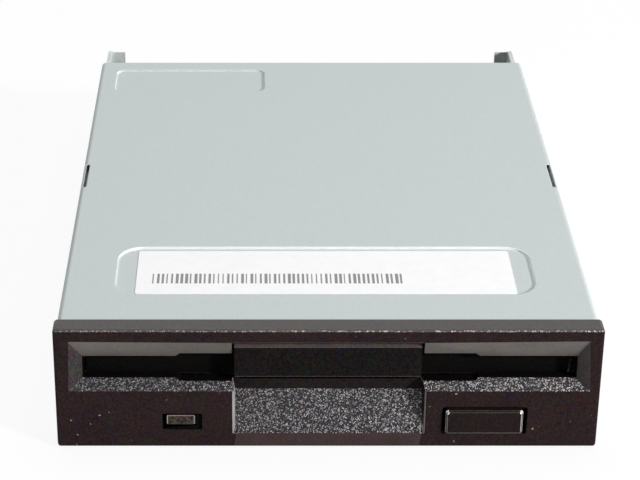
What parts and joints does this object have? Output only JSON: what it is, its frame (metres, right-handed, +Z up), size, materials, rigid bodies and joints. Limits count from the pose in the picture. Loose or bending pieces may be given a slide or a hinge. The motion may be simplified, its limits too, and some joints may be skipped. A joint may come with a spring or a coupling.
{
  "type": "internal floppy disk drive",
  "caption": "Slim internal floppy disk drive: grey sheet-metal case with a dark front bezel, spring-shut disk slot, eject button and rear connectors.",
  "frame": {"origin": "centre of the box of the drive, on the plane of its underside", "axes": "+X to the right seen from the front, +Y from the bezel back to the connectors, +Z up"},
  "size_m": [0.1016, 0.147, 0.0254],
  "materials": {
    "front_bezel": "fine spark-eroded texture, smooth top face",
    "slot_door": "fine texture",
    "door_spring": "drawn wire",
    "eject_button": "fine texture",
    "led_lens": "clear, slightly smoky",
    "led": "clear body",
    "top_cover": "matt coated steel sheet",
    "cover_label": "white film with a plain row of bars",
    "chassis": "zinc-coated steel sheet",
    "disk_holder": "rolled steel sheet",
    "holder_pins": "turned steel",
    "eject_slider": "rolled steel sheet",
    "slider_springs": "drawn wire",
    "shutter_lever": "stamped steel",
    "lever_pivot": "turned",
    "lever_spring": "drawn wire",
    "motor_board": "brown board laminate",
    "motor_parts": "moulded packages",
    "board_screws": "yellow zinc",
    "stator_core": "laminated sheet",
    "stator_coils": "enamelled copper wire",
    "bearing_housing": "turned",
    "spindle_bush": "sintered bronze",
    "rotor_cup": "drawn sheet",
    "rotor_magnet": "bonded ferrite",
    "spindle_hub": "turned",
    "chuck_magnet": "bonded ferrite",
    "spindle_shaft": "ground",
    "drive_pin": "turned",
    "index_sensor": "moulded",
    "head_carriage": "glass-filled plastic",
    "lower_head": "ceramic-loaded",
    "upper_arm": "glass-filled plastic",
    "upper_head": "ceramic-loaded",
    "arm_pivot_pin": "ground",
    "arm_spring": "drawn wire",
    "guide_rods": "ground",
    "rod_clamps": "stamped steel",
    "clamp_screws": "yellow zinc",
    "stepper_motor": "drawn cans",
    "stepper_bracket": "steel sheet",
    "lead_screw": "rolled thread",
    "screw_bearing": "self-lubricating plastic",
    "main_board": "green solder mask",
    "board_chips": "moulded packages",
    "signal_header": "moulded",
    "signal_pins": "gold flash",
    "power_header": "natural nylon",
    "power_pins": "tinned",
    "switch_bodies": "moulded",
    "protect_plunger": "moulded",
    "density_plunger": "moulded",
    "disk_in_plunger": "moulded",
    "track_sensor": "moulded",
    "cable_sockets": "moulded",
    "motor_cable": "amber film with copper tracks",
    "stepper_cable": "amber film with copper tracks",
    "head_cable": "amber film with copper tracks"
  },
  "bodies": {
    "frame": {"front_bezel": "front_bezel", "led_lens": "led_lens", "led": "led", "top_cover": "top_cover", "cover_label": "cover_label", "chassis": "chassis", "slider_springs": "slider_springs", "door_spring": "door_spring", "motor_board": "motor_board", "motor_parts": "motor_parts", "board_screws": "board_screws", "stator_core": "stator_core", "stator_coils": "stator_coils", "bearing_housing": "bearing_housing", "spindle_bush": "spindle_bush", "index_sensor": "index_sensor", "guide_rods": "guide_rods", "rod_clamps": "rod_clamps", "clamp_screws": "clamp_screws", "stepper_motor": "stepper_motor", "stepper_bracket": "stepper_bracket", "screw_bearing": "screw_bearing", "main_board": "main_board", "board_chips": "board_chips", "signal_header": "signal_header", "signal_pins": "signal_pins", "power_header": "power_header", "power_pins": "power_pins", "switch_bodies": "switch_bodies", "track_sensor": "track_sensor", "cable_sockets": "cable_sockets", "motor_cable": "motor_cable", "stepper_cable": "stepper_cable", "head_cable": "head_cable"},
    "door": {"slot_door": "slot_door"},
    "slider": {"eject_slider": "eject_slider", "eject_button": "eject_button"},
    "holder": {"disk_holder": "disk_holder", "holder_pins": "holder_pins", "lever_pivot": "lever_pivot", "lever_spring": "lever_spring"},
    "lever": {"shutter_lever": "shutter_lever"},
    "spindle": {"rotor_cup": "rotor_cup", "rotor_magnet": "rotor_magnet", "spindle_hub": "spindle_hub", "chuck_magnet": "chuck_magnet", "spindle_shaft": "spindle_shaft"},
    "pin": {"drive_pin": "drive_pin"},
    "carriage": {"head_carriage": "head_carriage", "lower_head": "lower_head", "arm_pivot_pin": "arm_pivot_pin", "arm_spring": "arm_spring"},
    "arm": {"upper_arm": "upper_arm", "upper_head": "upper_head"},
    "screw": {"lead_screw": "lead_screw"},
    "protect_switch": {"protect_plunger": "protect_plunger"},
    "density_switch": {"density_plunger": "density_plunger"},
    "disk_in_switch": {"disk_in_plunger": "disk_in_plunger"}
  },
  "joints": [
    {"name": "eject_slide", "type": "slide", "parent": "frame", "child": "slider", "axis": [0, -1, 0], "range_m": [0, 0.006], "deforming": ["slider_springs"]},
    {"name": "holder_drop", "type": "slide", "parent": "frame", "child": "holder", "axis": [0, 0, -1], "range_m": [0, 0.0028]},
    {"name": "arm_lower", "type": "hinge", "parent": "carriage", "child": "arm", "pos_m": [0, 0.0425, 0.0168], "axis": [1, 0, 0], "range_deg": [0, 11], "deforming": ["arm_spring"]},
    {"name": "shutter_lever_swing", "type": "hinge", "parent": "holder", "child": "lever", "pos_m": [0.037, 0.023, 0.02], "axis": [0, 0, -1], "range_deg": [0, 45], "stiffness_Nm_per_rad": 0.004, "springref_deg": -22.92, "deforming": ["lever_spring"]},
    {"name": "door_swing", "type": "hinge", "parent": "frame", "child": "door", "pos_m": [0, -0.0697, 0.0212], "axis": [1, 0, 0], "range_deg": [0, 85], "stiffness_Nm_per_rad": 0.0006, "springref_deg": -28.65, "deforming": ["door_spring"]},
    {"name": "spindle_spin", "type": "hinge", "parent": "frame", "child": "spindle", "pos_m": [0, -0.023, 0.006], "axis": [0, 0, 1], "continuous": true},
    {"name": "drive_pin_press", "type": "slide", "parent": "spindle", "child": "pin", "axis": [0, 0, -1], "range_m": [0, 0.0011], "stiffness_N_per_m": 120, "springref_m": -0.001},
    {"name": "carriage_travel", "type": "slide", "parent": "frame", "child": "carriage", "axis": [0, -1, 0], "range_m": [0, 0.0148], "deforming": ["head_cable"]},
    {"name": "screw_spin", "type": "hinge", "parent": "frame", "child": "screw", "pos_m": [0.024, 0.0255, 0.0092], "axis": [0, -1, 0], "range_deg": [0, 1421]},
    {"name": "protect_press", "type": "slide", "parent": "frame", "child": "protect_switch", "axis": [0, 0, -1], "range_m": [0, 0.0011], "stiffness_N_per_m": 100, "springref_m": -0.002},
    {"name": "density_press", "type": "slide", "parent": "frame", "child": "density_switch", "axis": [0, 0, -1], "range_m": [0, 0.0011], "stiffness_N_per_m": 100, "springref_m": -0.002},
    {"name": "disk_in_press", "type": "slide", "parent": "frame", "child": "disk_in_switch", "axis": [0, 0, -1], "range_m": [0, 0.0011], "stiffness_N_per_m": 100, "springref_m": -0.002}
  ],
  "couplings": [
    {"joint": "holder_drop", "follows": "eject_slide", "ratio": 0.46666},
    {"joint": "arm_lower", "follows": "eject_slide", "rad_per_m": 31.99},
    {"joint": "screw_spin", "follows": "carriage_travel", "rad_per_m": 1675.5}
  ]
}
